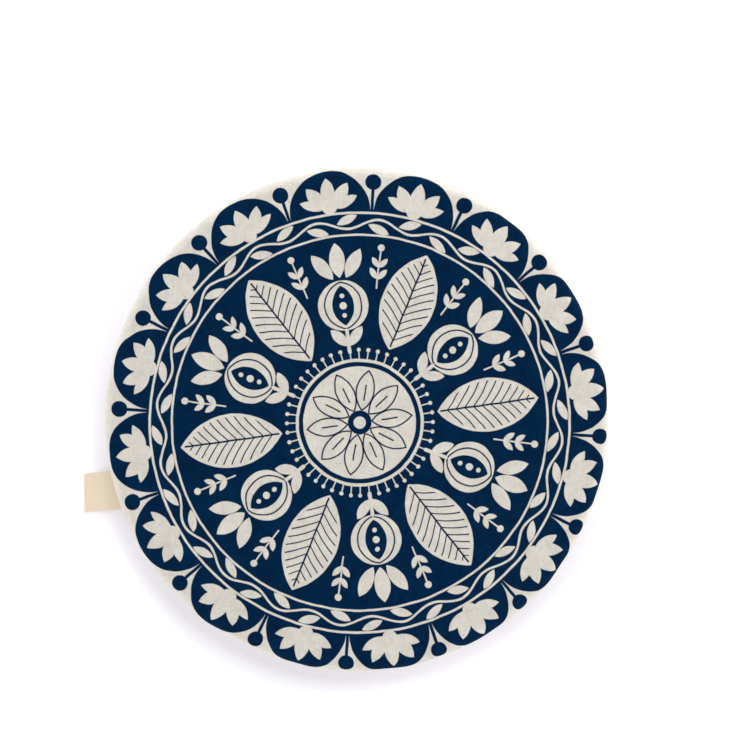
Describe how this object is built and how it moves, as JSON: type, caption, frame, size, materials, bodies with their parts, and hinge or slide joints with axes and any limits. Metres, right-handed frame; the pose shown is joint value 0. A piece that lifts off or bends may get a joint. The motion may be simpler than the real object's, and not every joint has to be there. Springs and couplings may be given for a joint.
{
  "type": "dish cover",
  "caption": "Round printed cotton dish cover with a flat top, a gathered skirt, an elastic hem and a bare folded tape label.",
  "frame": {"origin": "middle of the flat top's underside, in the plane where the top lies on a dish's rim", "axes": "+Z up out of the flat top; +X to the right in the picture, so that the label points to -X; +Y up in the picture"},
  "size_m": [0.2975, 0.28, 0.0405],
  "materials": {
    "printed_cotton": "matte",
    "white_elastic": "matte",
    "cotton_tape": "matte"
  },
  "bodies": {
    "root": {"cover_cloth": "printed_cotton", "hem_elastic": "white_elastic", "side_label": "cotton_tape"}
  },
  "joints": []
}
